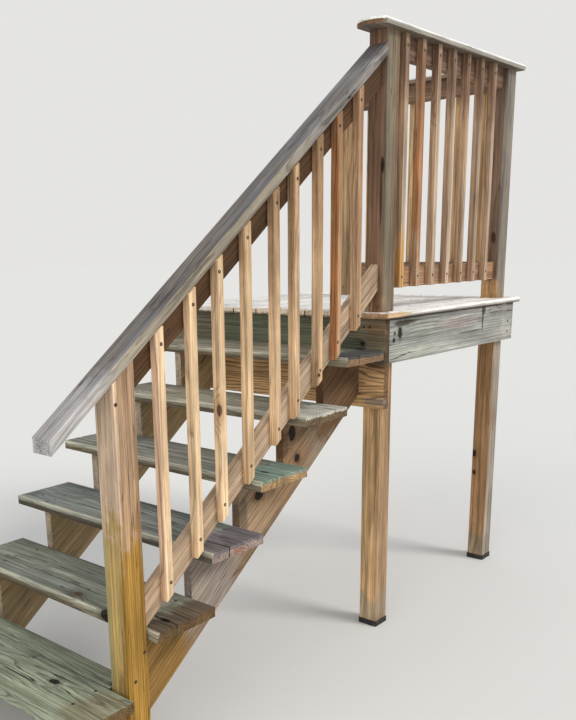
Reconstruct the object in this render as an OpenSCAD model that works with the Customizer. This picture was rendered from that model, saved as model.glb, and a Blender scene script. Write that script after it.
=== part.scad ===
// Timber deck stair: a small landing on two posts and a wall ledger, with
// a straight flight of open-riser plank treads on two saw-tooth stringers.
// X runs up the flight along the wall, Y runs towards the wall, Z is up.
// The origin is the middle of the ledger's back face, where it meets the wall.

/* [Landing] */
// Length of the outer fascia
landing_w = 1238; // [1100:1:1400]
// Depth of the landing, from the fascia's outer face to the wall
landing_d = 1356; // [1250:1:1500]
// Overhang of the deck boards past the framing
overhang = 25; // [15:1:35]
// Space between the wall and the end guard's post
end_post_gap = 317; // [250:1:360]

/* [Stair] */
// Height of the lowest tread above the floor that the posts stand on
first_rise = 310; // [290:1:330]
// Height from one tread to the next
rise = 198; // [185:1:205]
// Height of the deck above the highest tread
top_rise = 159; // [150:1:180]
// Distance from one tread's nosing to the next
going = 270; // [262:1:282]
// Number of treads below the deck, with any above the sixth kept in its node
tread_count = 6; // [4:1:8]
// Length of the treads
tread_l = 1168; // [1100:1:1200]
// Extra depth of the lowest tread, in front of the regular nosing line
first_tread_extra = 79; // [60:1:90]
// How far the inner stringer is set in from the treads' wall ends
stringer_inset = 157; // [120:1:200]

/* [Guard] */
// Height of the landing guard, from the deck to the top of its cap
guard_h = 1136; // [1000:1:1200]
// How far the guard's caps stand out past the posts' outer faces
cap_out = 32; // [20:1:40]
// How far the outer cap's rounded nose bulges out over the stair side
cap_nose = 30; // [10:1:40]
// Height of the handrail's underside above the nosing line, at its lower end
rail_low_h = 902; // [850:1:950]
// The same height where the handrail meets the landing's post
rail_high_h = 929; // [860:1:950]
// Height of the lower rail's underside above the nosing line, at the newel
lower_rail_low_h = -14; // [-20:1:60]
// The same height where the lower rail meets the landing's post
lower_rail_high_h = 8; // [-20:1:60]
// How far the handrail runs on past the newel
rail_overhang = 234; // [180:1:260]
// Clear height between the deck and the guard's lower rail
guard_gap = 97; // [60:1:110]
// Distance from one landing baluster to the next
baluster_pitch = 136; // [120:1:145]

/* [Lumber] */
// Thickness of the framing boards
two_by = 38; // [36:1:42]
// Width of the narrow boards: rails, handrail and tread fronts
narrow_w = 89; // [86:1:92]
// Width of the fascia, rims, joists, ledger and hanger board
rim_w = 194; // [184:1:200]
// Width of the wide boards at the back of the treads
wide_w = 184; // [178:1:190]
// Width of the lowest tread's front board
wide_tread_w = 235; // [225:1:240]
// Width of the stringer boards
stringer_w = 286; // [270:1:300]
// Side of the square posts
post_w = 89; // [86:1:95]
// Side of the square balusters
baluster_w = 32; // [28:1:38]
// Width of the deck boards and guard caps
deck_board_w = 140; // [130:1:145]
// Thickness of the deck boards and guard caps
deck_board_t = 25; // [22:1:28]
// Thickness of the pads under the posts
pad_t = 25; // [20:1:30]

/* [Hidden] */

// Heights, from the floor
deck_h = first_rise + (tread_count - 1) * rise + top_rise;
rim_top = deck_h - deck_board_t;
rim_bottom = rim_top - rim_w;
cap_top = deck_h + guard_h;
cap_bottom = cap_top - deck_board_t;

// Eased long edges of sawn lumber and of deck boards
lumber_ease = 2.5;
deck_ease = 5;
pad_ease = 3;
// Spaces that are left between neighbouring boards
board_gap = 4;
tread_gap = 5;
notch_play = 3;

// Landing, with X from the corner post's stair face and Y from the fascia's face
rim_x = -two_by;
far_rim_x = landing_w - two_by;
right_post_x = far_rim_x - post_w;
post_y = two_by;
post_back_y = post_y + post_w;
ledger_y = landing_d - two_by;
end_post_y = landing_d - end_post_gap - post_w;

// The guard's rails are centred in the posts, with the balusters on their outer faces
rail_inset = (post_w - two_by) / 2;
rail_y = post_y + rail_inset;
baluster_y = rail_y - baluster_w;
end_rail_x = right_post_x + rail_inset;
end_baluster_x = end_rail_x + two_by;
baluster_clear = 35;
cap_y = post_y - cap_out;
end_cap_x = right_post_x + post_w + cap_out - deck_board_w;
cap_front_x = rim_x - overhang;
cap_far_x = right_post_x + post_w + cap_out;
nose_facets = 10;

// Flight
slope = rise / going;
slope_angle = atan(slope);
tread_d = narrow_w + tread_gap + wide_w;
tread_back_gap = 12;
top_nosing_x = rim_x - tread_back_gap - tread_d;
first_nosing_x = top_nosing_x - (tread_count - 1) * going;
tread_y = -5;
nosing_lap = 25;
stringer_outer_y = post_back_y;
stringer_inner_y = tread_y + tread_l - stringer_inset - two_by;
hanger_end_y = stringer_inner_y + two_by + two_by;
stringer_plumb = stringer_w / cos(slope_angle);

// Newel, handrail and stair guard
newel_play = 17;
newel_x = first_nosing_x - first_tread_extra + wide_tread_w + newel_play;
rail_start_x = newel_x + post_w;
rail_end_x = newel_x - rail_overhang;
rail_rise = slope * -rail_end_x + rail_high_h - rail_low_h;
rail_slope = rail_rise / -rail_end_x;
rail_angle = atan(rail_slope);
rail_plumb = narrow_w / cos(rail_angle);
baluster_foot = 8;
// Steps between the stair balusters, from the landing down, as they were set by eye
baluster_steps = [142, 122, 147, 115, 157, 146, 133, 151];
top_baluster_x = -209;
steps_run = 1505;
step_scale = -newel_x / steps_run;

function nosing_x(k) = first_nosing_x + (k - 1) * going;
function tread_z(k) = first_rise + (k - 1) * rise;
function nosing_line(x) = first_rise + (x - first_nosing_x) * slope;
function rail_under(x) = nosing_line(rail_end_x) + rail_low_h + (x - rail_end_x) * rail_slope;
function total(list, n) = n < 1 ? 0 : list[n - 1] + total(list, n - 1);

// Rectangle with its corners cut back by e, as two short facets each
function eased(w, t, e) = [
    [e, 0], [w - e, 0], [w - 0.3 * e, 0.3 * e], [w, e],
    [w, t - e], [w - 0.3 * e, t - 0.3 * e], [w - e, t],
    [e, t], [0.3 * e, t - 0.3 * e], [0, t - e], [0, e], [0.3 * e, 0.3 * e]];

// Moves the landing's working frame to the origin on the ledger
module site() {
    translate([-(rim_x + landing_w) / 2, -landing_d, -(rim_top + rim_bottom) / 2])
        children();
}

// Board along X, with its low corner at p, dy wide and dz high
module board_x(p, length, dy, dz, e = lumber_ease) {
    translate(p)
        rotate([90, 0, 90])
            linear_extrude(length) polygon(eased(dy, dz, e));
}

// Board along Y, with its low corner at p, dx wide and dz high
module board_y(p, length, dx, dz, e = lumber_ease) {
    translate([p[0], p[1] + length, p[2]])
        rotate([90, 0, 0])
            linear_extrude(length) polygon(eased(dx, dz, e));
}

// Upright timber, with its low corner at p
module upright(p, height, dx, dy, e = lumber_ease) {
    translate(p)
        linear_extrude(height) polygon(eased(dx, dy, e));
}

// Outline in X and Z, made into a board of thickness t from y inwards
module plank(outline, y, t) {
    translate([0, y + t, 0])
        rotate([90, 0, 0])
            linear_extrude(t) polygon(outline);
}

module post(x) {
    color("#c2a878")
        site() upright([x, post_y, pad_t], cap_bottom - pad_t, post_w, post_w);
}

module pad(x) {
    color("#1d1d20")
        site() upright([x - pad_ease, post_y - pad_ease, 0], pad_t,
                       post_w + 2 * pad_ease, post_w + 2 * pad_ease, pad_ease);
}

module outer_fascia() {
    color("#8f9686")
        site() board_x([0, 0, rim_bottom], landing_w, two_by, rim_w);
}

module stair_side_rim() {
    color("#7d8676")
        site() board_y([rim_x, 0, rim_bottom], ledger_y, two_by, rim_w);
}

module far_end_rim() {
    color("#8a8672")
        site() board_y([far_rim_x, two_by, rim_bottom], ledger_y - two_by, two_by, rim_w);
}

module ledger() {
    color("#8f7f5f")
        site() board_x([rim_x, ledger_y, rim_bottom], landing_w + two_by, two_by, rim_w);
}

// Joist at a third or two thirds of the way from the stair side to the far rim
module joist(third) {
    color("#93805c")
        site() board_y([rim_x + third * landing_w / 3, two_by, rim_bottom],
                       ledger_y - two_by, two_by, rim_w);
}

module hanger_board() {
    color("#b59a68")
        site() board_y([rim_x, 0, rim_bottom - rim_w], hanger_end_y, two_by, rim_w);
}

module deck_boards() {
    pitch = deck_board_w + board_gap;
    full = floor((landing_d + overhang) / pitch);
    rest = landing_d + overhang - full * pitch;
    color("#d8d3c4")
        site() difference() {
            for (i = [0 : full])
                let (w = i < full ? deck_board_w : rest)
                    if (w > 4 * deck_ease)
                        board_x([rim_x - overhang, i * pitch - overhang, rim_top],
                                landing_w + two_by + 2 * overhang, w, deck_board_t, deck_ease);
            for (p = [[0, post_y], [right_post_x, post_y], [right_post_x, end_post_y]])
                translate([p[0] - notch_play, p[1] - notch_play, rim_top - 1])
                    cube([post_w + 2 * notch_play, post_w + 2 * notch_play, deck_board_t + 2]);
        }
}

module outer_guard_rail(z) {
    color("#a8824f")
        site() board_x([post_w, rail_y, z], right_post_x - post_w, two_by, narrow_w);
}

module outer_guard_balusters() {
    clear = right_post_x - post_w - 2 * baluster_clear - baluster_w;
    color("#c8935a")
        site() for (i = [0 : floor(clear / baluster_pitch)])
            upright([post_w + baluster_clear + i * baluster_pitch, baluster_y, deck_h + guard_gap],
                    cap_bottom - deck_h - guard_gap, baluster_w, baluster_w);
}

// Flat board on the posts, with its stair end cut to an arc
module outer_guard_cap() {
    nose_r = (pow(deck_board_w / 2, 2) + pow(cap_nose, 2)) / (2 * cap_nose);
    half = asin(deck_board_w / 2 / nose_r);
    nose = [for (i = [0 : nose_facets]) let (a = half * (1 - 2 * i / nose_facets))
        [cap_front_x - cap_nose + nose_r * (1 - cos(a)),
         cap_y + deck_board_w / 2 + nose_r * sin(a)]];
    color("#cfcb9c")
        site() intersection() {
            board_x([cap_front_x - cap_nose, cap_y, cap_bottom], cap_far_x - cap_front_x + cap_nose,
                    deck_board_w, deck_board_t, deck_ease);
            translate([0, 0, cap_bottom])
                linear_extrude(deck_board_t)
                    polygon(concat(nose, [[cap_far_x, cap_y], [cap_far_x, cap_y + deck_board_w]]));
        }
}

module end_guard_post() {
    color("#b99d6e")
        site() upright([right_post_x, end_post_y, rim_bottom], cap_bottom - rim_bottom,
                       post_w, post_w);
}

module end_guard_rail(z) {
    color("#a8824f")
        site() board_y([end_rail_x, post_back_y, z], end_post_y - post_back_y,
                       two_by, narrow_w);
}

module end_guard_balusters() {
    clear = end_post_y - post_back_y - 2 * baluster_clear - baluster_w;
    count = floor(clear / baluster_pitch);
    start = post_back_y + baluster_clear + (clear - count * baluster_pitch) / 2;
    color("#c8935a")
        site() for (i = [0 : count])
            upright([end_baluster_x, start + i * baluster_pitch, deck_h + guard_gap],
                    cap_bottom - deck_h - guard_gap, baluster_w, baluster_w);
}

module end_guard_cap() {
    start = cap_y + deck_board_w;
    color("#cfcb9c")
        site() board_y([end_cap_x, start, cap_bottom], end_post_y + post_w + overhang - start,
                       deck_board_w, deck_board_t, deck_ease);
}

// Saw-tooth side board: level seats, plumb cuts, and a foot cut level on the floor
module stringer(y) {
    cuts = [for (k = [1 : tread_count]) each [
        [nosing_x(k) + nosing_lap, tread_z(k) - two_by],
        [k < tread_count ? nosing_x(k + 1) + nosing_lap : rim_x, tread_z(k) - two_by]]];
    first = cuts[0];
    lower_at_hanger = first[1] + (rim_x - first[0]) * slope - stringer_plumb;
    foot_x = first[0] + (stringer_plumb - first[1]) / slope;
    color("#8a7355")
        site() plank(concat([[first[0], 0]], cuts, [[rim_x, lower_at_hanger], [foot_x, 0]]),
                     y, two_by);
}

// Regular treads between two numbers, as far as the flight goes: each has a narrow
// front board and a wide back board
module treads(from, to) {
    color("#8d9384")
        site() for (k = [from : 1 : min(to, tread_count)])
            let (x = nosing_x(k), z = tread_z(k) - two_by) {
                board_y([x, tread_y, z], tread_l, narrow_w, two_by);
                board_y([x + narrow_w + tread_gap, tread_y, z], tread_l, wide_w, two_by);
            }
}

// Lowest tread: its wide front board runs past the newel, and a narrow board sits behind
module tread_1() {
    front_x = nosing_x(1) - first_tread_extra;
    z = tread_z(1) - two_by;
    color("#7f8a86")
        site() {
            board_y([front_x, tread_y, z], tread_l, wide_tread_w, two_by);
            board_y([front_x + wide_tread_w + tread_gap, post_back_y, z],
                    tread_y + tread_l - post_back_y, narrow_w, two_by);
        }
}

// Square newel on the floor, with its top cut to the handrail's slope
module newel_post() {
    color("#c9a45c")
        site() plank([[newel_x, 0], [newel_x + post_w, 0],
                      [newel_x + post_w, rail_under(newel_x + post_w)],
                      [newel_x, rail_under(newel_x)]], post_y, post_w);
}

// Flat rail on the slope, with plumb ends
module handrail() {
    color("#c9c4b6")
        site() intersection() {
            translate([rail_end_x, 0, rail_under(rail_end_x)])
                rotate([0, -rail_angle, 0])
                    board_x([-post_w, post_y, 0], -rail_end_x / cos(rail_angle) + 2 * post_w,
                            post_w, two_by);
            translate([rail_end_x, 0, 0])
                cube([-rail_end_x, 2 * post_back_y, cap_top]);
        }
}

// Rail on edge between the newel and the landing's post, by its underside's heights there
module sloped_rail(newel_foot, post_foot) {
    plumb = narrow_w / cos(atan((post_foot - newel_foot) / -rail_start_x));
    color("#a8824f")
        site() plank([[rail_start_x, newel_foot], [0, post_foot],
                      [0, post_foot + plumb], [rail_start_x, newel_foot + plumb]],
                     rail_y, two_by);
}

// Square balusters with both ends cut to the slope
module stair_balusters() {
    color("#cf9354")
        site() for (i = [0 : len(baluster_steps)])
            let (x = (top_baluster_x - total(baluster_steps, i)) * step_scale,
                 foot = nosing_line(x) + baluster_foot)
                plank([[x, foot], [x + baluster_w, foot + baluster_w * slope],
                       [x + baluster_w, rail_under(x + baluster_w)], [x, rail_under(x)]],
                      baluster_y, baluster_w);
}

post(0);  // post_left
post(right_post_x);  // post_right
pad(0);  // pad_left
pad(right_post_x);  // pad_right
outer_fascia();
stair_side_rim();
far_end_rim();
ledger();
joist(1);  // joist_left
joist(2);  // joist_right
hanger_board();
deck_boards();
outer_guard_rail(cap_bottom - narrow_w);  // outer_guard_top_rail
outer_guard_rail(deck_h + guard_gap);  // outer_guard_bottom_rail
outer_guard_balusters();
outer_guard_cap();
end_guard_post();
end_guard_rail(cap_bottom - narrow_w);  // end_guard_top_rail
end_guard_rail(deck_h + guard_gap);  // end_guard_bottom_rail
end_guard_balusters();
end_guard_cap();
stringer(stringer_outer_y);  // stringer_outer
stringer(stringer_inner_y);  // stringer_inner
tread_1();
treads(2, 2);  // tread_2
treads(3, 3);  // tread_3
treads(4, 4);  // tread_4
treads(5, 5);  // tread_5
treads(6, tread_count);  // tread_6
newel_post();
handrail();
sloped_rail(rail_under(rail_start_x) - rail_plumb, rail_under(0) - rail_plumb);  // stair_upper_rail
sloped_rail(nosing_line(rail_start_x) + lower_rail_low_h, nosing_line(0) + lower_rail_high_h);  // stair_lower_rail
stair_balusters();
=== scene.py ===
"""Dresses the timber deck stairs: lumber finishes, screws, floor, light and camera."""

from __future__ import annotations

import logging
import math
from dataclasses import dataclass, field
from enum import Enum
from functools import cached_property
from typing import Any, Iterable, Sequence, Union

import bpy
from bpy.types import Material, Node, NodeSocket, NodeTree, Object
from mathutils import Matrix, Vector

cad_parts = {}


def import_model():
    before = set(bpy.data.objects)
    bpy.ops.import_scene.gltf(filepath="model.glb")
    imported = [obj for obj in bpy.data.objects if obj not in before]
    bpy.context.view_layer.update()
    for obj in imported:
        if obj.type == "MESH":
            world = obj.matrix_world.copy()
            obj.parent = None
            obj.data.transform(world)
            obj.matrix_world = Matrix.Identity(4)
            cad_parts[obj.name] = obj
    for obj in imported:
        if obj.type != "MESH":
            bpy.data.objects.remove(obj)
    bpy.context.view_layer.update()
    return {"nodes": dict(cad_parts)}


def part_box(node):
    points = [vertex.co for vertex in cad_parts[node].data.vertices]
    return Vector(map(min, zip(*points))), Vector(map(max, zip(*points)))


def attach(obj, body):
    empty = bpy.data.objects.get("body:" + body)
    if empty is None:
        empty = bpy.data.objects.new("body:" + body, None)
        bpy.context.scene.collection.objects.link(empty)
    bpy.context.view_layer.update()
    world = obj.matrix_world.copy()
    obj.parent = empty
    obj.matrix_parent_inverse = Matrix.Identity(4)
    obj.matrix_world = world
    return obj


LOG = logging.getLogger("deck_stairs")

Point = tuple[float, float, float]
# A wire, a number, a vector or a colour as six hexadecimal digits
Value = Union["Wire", float, Point, str]

# Faces and middles of the boards in the CAD frame, in metres
FLOOR_Z = -1.337
DECK_Z = 0.122
DECK_Y = -1.381
DECK_X = -0.663
FASCIA_Y = -1.356
RIM_X = -0.638
GUARD_Y = -1.3245
STRINGER_Y = -1.229
POST_Y = -1.318
POST_MIDDLE_Y = -1.2735
RIGHT_MIDDLE_X = 0.5555
LEFT_X = -0.60
RIGHT_X = 0.511
NEWEL_X = -2.105

# Width of a baluster, and how far from its ends it is screwed
BALUSTER = 0.032
SCREW_IN = 0.045

# From a baluster back to the middle of the gap before it
MID_GAP = 0.05

# Rise, going and slope of the flight
RISE = 0.198
GOING = 0.270
SLOPE = math.atan2(RISE, GOING)

# Ways that a face can look
UP = (0.0, 0.0, 1.0)
DOWN = (0.0, 0.0, -1.0)
FOOTWARD = (-1.0, 0.0, 0.0)
OUTWARD = (0.0, -1.0, 0.0)
ENDWARD = (1.0, 0.0, 0.0)

# Most boards that one node has, and how far apart the random numbers of boards and
# materials lie
MOST_BOARDS = 16
BOARD_STEP = 7.31
MATERIAL_STEP = 1.37

# Colours that all boards share
KNOT_RED = (0.10, 0.048, 0.026)
KNOT_CORE = (0.014, 0.010, 0.008)
CRACK = (0.02, 0.014, 0.01)


def paint(digits: str) -> Point:
    """Turns a colour as it is seen on a screen into a linear one.

    Args:
        digits: Red, green and blue, as six hexadecimal digits.

    Returns:
        The linear colour, 0 to 1.
    """
    return tuple(
        c / 255 / 12.92 if c <= 10 else ((c / 255 + 0.055) / 1.055) ** 2.4
        for c in bytes.fromhex(digits)
    )


class Grain(Enum):
    """The way a board's grain runs, with the Euler turn that brings it onto X."""

    ALONG = ((1.0, 0.0, 0.0), (0.0, 0.0, 0.0))
    ACROSS = ((0.0, 1.0, 0.0), (0.0, 0.0, -math.pi / 2))
    UPRIGHT = ((0.0, 0.0, 1.0), (0.0, math.pi / 2, 0.0))
    SLOPED = ((math.cos(SLOPE), 0.0, math.sin(SLOPE)), (0.0, SLOPE, 0.0))

    def __init__(self, line: Point, turn: Point) -> None:
        """Keeps the direction of the grain and its turn."""
        self.line = line
        self.turn = turn


@dataclass(frozen=True)
class StainAndLight:
    """A soft-edged patch of another colour, for real stains and for painted shadows and
    highlights.

    Attributes:
        place: Middle of the patch.
        size: Half its reach along X, Y and Z.
        colour: Its colour.
        amount: How much it covers, 0 to 1.
        rag: How ragged its edge is.
        soft: How soon it fades, as a share of its reach.
    """

    place: Point
    size: Point
    colour: str
    amount: float = 0.7
    rag: float = 0.5
    soft: float = 0.3


@dataclass(frozen=True)
class Side:
    """Another colour on the faces that look one way.

    Attributes:
        out: The way that the faces look.
        colour: Their colour.
        amount: How much it covers, 0 to 1.
    """

    out: Point
    colour: str
    amount: float


@dataclass(frozen=True)
class Knot:
    """A single knot that shows on a face.

    Attributes:
        place: Middle of the knot on the face.
        radius: Radius of its dark core.
        stretch: How much longer it is along X, Y and Z.
    """

    place: Point
    radius: float
    stretch: Point = (1.0, 1.0, 1.0)


@dataclass(frozen=True)
class BoardRow:
    """How one node's boards are told apart.

    Attributes:
        axis: Axis that the boards are counted along, 0 for X and 1 for Y.
        edges: Places of the gaps between them, from low to high.
        dirt: Colour of the dirt along the gaps, if they have any.
    """

    axis: int
    edges: tuple[float, ...]
    dirt: str | None = None


@dataclass(frozen=True)
class WearAndLight:
    """What the weather and use have left on one node's boards, and the light and shade painted
    onto them.

    Attributes:
        row: How the node's boards are told apart, if it has several.
        sides: Faces with a colour of their own.
        stains_and_light: Patches of another colour: real stains, and painted shadows and
            highlights.
        knots: Knots with a place of their own.
    """

    row: BoardRow | None = None
    sides: tuple[Side, ...] = ()
    stains_and_light: tuple[StainAndLight, ...] = ()
    knots: tuple[Knot, ...] = ()


@dataclass(frozen=True)
class WoodFinish:
    """Colours and figure of one kind of board.

    Attributes:
        light: Colour of the wide early wood.
        dark: Colour of the narrow late wood.
        grey: Colour that the weather gives it.
        end: Colour of the end grain.
        second: Colour that some boards tend to.
        greying: How far the weather has gone, 0 to 1.
        rings: Strength of the ring lines.
        gap: Width of one ring.
        wave: How far the rings wander.
        streaks: Strength of the long streaks.
        knots: Share of places with a knot.
        checks: Strength of the drying cracks.
        rough: Roughness of the surface.
        pith: Heart of the log, from the board's middle, across the grain.
    """

    light: str
    dark: str
    grey: str
    end: str
    second: str
    greying: float = 0.3
    rings: float = 0.7
    gap: float = 0.007
    wave: float = 0.012
    streaks: float = 0.5
    knots: float = 0.16
    checks: float = 0.5
    rough: float = 0.7
    pith: tuple[float, float] = (0.05, -0.09)


class Wood:
    """The finish of each kind of board."""

    POST = WoodFinish(
        "c09e74", "74502e", "a0927a", "aa8258", "b6966e", greying=0.35, rings=0.8, gap=0.008,
        pith=(0.03, -0.07), knots=0.05, streaks=0.6)
    FASCIA = WoodFinish(
        "aaaba0", "4e5042", "949692", "604c3a", "a4a59a", greying=0.5, rings=0.9, gap=0.011,
        wave=0.030, knots=0.04, pith=(0.05, 0.12), streaks=0.4, checks=1.0)
    RIM = WoodFinish(
        "847a64", "3a3426", "686c5e", "5c4836", "7a705a", greying=0.5, rings=0.85, gap=0.010,
        wave=0.022, knots=0.06, pith=(0.05, 0.12), streaks=0.65)
    FRAMING = WoodFinish("a88a66", "684c2e", "827662", "96704a", "967e5e")
    HANGER = WoodFinish(
        "e8bc88", "482e18", "ac8e6a", "705238", "dcb07c", greying=0.15, rings=1.0, gap=0.017,
        wave=0.05, knots=0.04, pith=(0.04, 0.03), streaks=0.35)
    DECK = WoodFinish(
        "fffefb", "d6cec4", "fafaf9", "b0825c", "fdfbf6", greying=0.4, gap=0.009, rings=0.16,
        streaks=0.12, knots=0.04, checks=0.7)
    GUARD_RAIL = WoodFinish(
        "967a64", "543c2c", "7e6c5e", "826042", "8e725c", greying=0.4, knots=0.06, rings=0.8,
        pith=(0.06, -0.05))
    GUARD_BALUSTER = WoodFinish(
        "c8b29a", "7a5c42", "b6a896", "aa8058", "c2a080", greying=0.45, knots=0.08, rings=0.75,
        gap=0.006, pith=(0.12, -0.16), streaks=0.7)
    END_BALUSTER = WoodFinish(
        "ceac80", "885c34", "b4a086", "aa8058", "d49856", greying=0.2, knots=0.08, rings=0.75,
        gap=0.006, pith=(0.12, -0.16), streaks=0.6)
    CAP = WoodFinish(
        "e8e6dc", "b0a892", "deded8", "705840", "e2ded2", greying=0.4, knots=0.05, rings=0.4,
        gap=0.009, pith=(0.05, -0.06), streaks=0.35)
    END_POST = WoodFinish(
        "b4946e", "6c4c2e", "92826a", "a07850", "a88a64", rings=0.8, gap=0.008,
        pith=(0.03, -0.07), knots=0.05)
    STRINGER = WoodFinish(
        "9e8468", "563e2a", "928676", "6e563e", "967c60", greying=0.6, rings=0.6, gap=0.012,
        wave=0.040, knots=0.05, pith=(0.05, 0.10), streaks=0.4, rough=0.75)
    TREAD = WoodFinish(
        "9c9c8c", "46463a", "868e8a", "b08e68", "929385", greying=0.6, rings=0.9, gap=0.009,
        wave=0.03, knots=0.05, pith=(0.03, -0.06), streaks=0.45, checks=1.0, rough=0.75)
    LOW_TREAD = WoodFinish(
        "a2a993", "3a4032", "8c9484", "826c4e", "9ca28e", greying=0.5, rings=1.0, gap=0.010,
        wave=0.050, knots=0.06, pith=(0.03, -0.05), streaks=0.45, checks=1.0, rough=0.78)
    NEWEL = WoodFinish(
        "c2a07e", "865e3c", "baa28a", "b48858", "bc9a78", greying=0.35, gap=0.009, wave=0.010,
        rings=0.8, knots=0.03, pith=(0.02, -0.075), streaks=0.65)
    HANDRAIL = WoodFinish(
        "86817d", "3e3834", "78797e", "c4c3c2", "807973", greying=0.6, gap=0.008, wave=0.030,
        rings=0.9, knots=0.06, pith=(0.0, 0.0), streaks=0.6, checks=1.0)
    STAIR_RAIL = WoodFinish(
        "c6ac90", "6c5036", "b4a490", "a07c56", "bca084", greying=0.4, gap=0.008, rings=0.7,
        knots=0.06, pith=(0.05, -0.05), streaks=0.45)
    STAIR_BALUSTER = WoodFinish(
        "d8bc96", "966a3e", "ceb89a", "deb89c", "d8b68c", greying=0.25, gap=0.006, wave=0.016,
        rings=0.85, knots=0.08, pith=(0.12, -0.16), streaks=0.65, rough=0.6)


@dataclass(frozen=True, eq=False)
class Wire:
    """A value on its way between nodes, which plain arithmetic works on.

    Attributes:
        sheet: The node tree that it is in.
        socket: The output that it comes from.
        wide: Whether it is a vector or a colour, and not a number.
    """

    sheet: Sheet
    socket: NodeSocket
    wide: bool

    def __add__(self, other: Value) -> Wire:
        """Returns the sum."""
        return self.sheet.math("ADD", self, other)

    def __sub__(self, other: Value) -> Wire:
        """Returns the difference."""
        return self.sheet.math("SUBTRACT", self, other)

    def __rsub__(self, other: float) -> Wire:
        """Returns the difference from a number."""
        return self.sheet.math("SUBTRACT", other, self)

    def __mul__(self, other: Value) -> Wire:
        """Returns the product."""
        return self.sheet.math("MULTIPLY", self, other)

    def __truediv__(self, other: Value) -> Wire:
        """Returns the quotient."""
        return self.sheet.math("DIVIDE", self, other)

    def __abs__(self) -> Wire:
        """Returns the value without its sign."""
        return self.sheet.math("ABSOLUTE", self)


class Sheet:
    """A node tree with short calls for the nodes that the finishes use."""

    def __init__(self, tree: NodeTree) -> None:
        """Keeps the tree that the nodes go into."""
        self.tree = tree

    def feed(self, socket: NodeSocket, value: Value) -> None:
        """Links an input to a wire, or gives it a number, a vector or a colour.

        Args:
            socket: The input.
            value: What goes into it.
        """
        if isinstance(value, Wire):
            self.tree.links.new(value.socket, socket)
            return
        if isinstance(value, str):
            value = paint(value)
        socket.default_value = (*value, 1.0) if socket.type == "RGBA" else value

    def add(self, kind: str, inputs: dict[Any, Value] | None = None, **settings: Any) -> Node:
        """Adds a node.

        Args:
            kind: The node's type.
            inputs: What goes into its inputs, by name or number.
            settings: Its properties.

        Returns:
            The new node.
        """
        node = self.tree.nodes.new(kind)
        for name, value in settings.items():
            setattr(node, name, value)
        for key, value in (inputs or {}).items():
            self.feed(node.inputs[key], value)
        return node

    def wires(self, kind: str, inputs: dict[Any, Value] | None = None,
              **settings: Any) -> dict[str, Wire]:
        """Adds a node, and hands its outputs on.

        Args:
            kind: The node's type.
            inputs: What goes into its inputs, by name or number.
            settings: Its properties.

        Returns:
            A wire from each output, by the output's name.
        """
        return {socket.name: Wire(self, socket, socket.type != "VALUE")
                for socket in self.add(kind, inputs, **settings).outputs}

    def here(self) -> Wire:
        """Returns the place on the object."""
        return self.wires("ShaderNodeTexCoord")["Object"]

    def math(self, operation: str, *values: Value) -> Wire:
        """Adds a Math node, or a Vector Math node where a value is a vector or a colour.

        Args:
            operation: What the node does.
            values: What goes into it, in order.

        Returns:
            Its result.
        """
        inputs = dict(enumerate(values))
        if any(value.wide if isinstance(value, Wire) else isinstance(value, (tuple, str))
               for value in values):
            return self.wires("ShaderNodeVectorMath", inputs, operation=operation)["Vector"]
        return self.wires("ShaderNodeMath", inputs, operation=operation)["Value"]

    def measure(self, operation: str, *vectors: Value) -> Wire:
        """Adds a Vector Math node that returns a number, such as LENGTH or DOT_PRODUCT."""
        return self.wires("ShaderNodeVectorMath", dict(enumerate(vectors)),
                          operation=operation)["Value"]

    def axis(self, vector: Wire, index: int) -> Wire:
        """Returns one part of a vector: 0 for X, 1 for Y or 2 for Z."""
        return self.wires("ShaderNodeSeparateXYZ", {0: vector})["XYZ"[index]]

    def smooth(self, value: Value, low: Value, high: Value, start: Value = 0.0,
               end: Value = 1.0) -> Wire:
        """Maps a value onto another range, with eased ends.

        Args:
            value: The value.
            low: Where its range starts.
            high: Where its range ends.
            start: What low becomes.
            end: What high becomes.

        Returns:
            The mapped value.
        """
        return self.wires("ShaderNodeMapRange", {
            "Value": value, "From Min": low, "From Max": high, "To Min": start,
            "To Max": end}, interpolation_type="SMOOTHSTEP")["Result"]

    def noise(self, vector: Wire, scale: Point, detail: float = 2.0,
              rough: float = 0.5) -> Wire:
        """Adds noise with its own scale along each axis.

        Args:
            vector: The point that it is read at.
            scale: Its scale along X, Y and Z.
            detail: How many finer layers it has.
            rough: How strong the finer layers are.

        Returns:
            The noise, 0 to 1.
        """
        return self.wires("ShaderNodeTexNoise", {
            "Vector": vector * scale, "Scale": 1.0, "Detail": detail,
            "Roughness": rough})["Fac"]

    def mix(self, factor: Value, first: Value, second: Value) -> Wire:
        """Mixes two colours and returns the result."""
        node = self.add("ShaderNodeMix", {0: factor, 6: first, 7: second}, data_type="RGBA")
        return Wire(self, node.outputs[2], True)

    def ramp(self, value: Wire, stops: Iterable[tuple[float, float]],
             shape: str = "LINEAR") -> Wire:
        """Adds a ramp of greys.

        Args:
            value: Where on the ramp, 0 to 1.
            stops: Place and brightness of each stop.
            shape: How the ramp gets from stop to stop.

        Returns:
            The brightness.
        """
        node = self.add("ShaderNodeValToRGB", {0: value})
        band = node.color_ramp
        band.interpolation = shape
        pairs = list(stops)
        while len(band.elements) < len(pairs):
            band.elements.new(0.5)
        for element, (place, shade) in zip(band.elements, pairs):
            element.position = place
            element.color = (shade, shade, shade, 1.0)
        return Wire(self, node.outputs[0], False)

    def bump(self, height: Wire, distance: float, strength: float = 1.0) -> Wire:
        """Returns the normal of a surface with a height in metres times distance."""
        return self.wires("ShaderNodeBump", {
            "Height": height, "Distance": distance, "Strength": strength})["Normal"]

    def surface(self, **inputs: Value) -> None:
        """Feeds the Principled shader.

        Args:
            inputs: What goes into its inputs, named with _ for a space.
        """
        shader = self.tree.nodes["Principled BSDF"]
        for label, value in inputs.items():
            self.feed(shader.inputs[label.replace("_", " ")], value)


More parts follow.
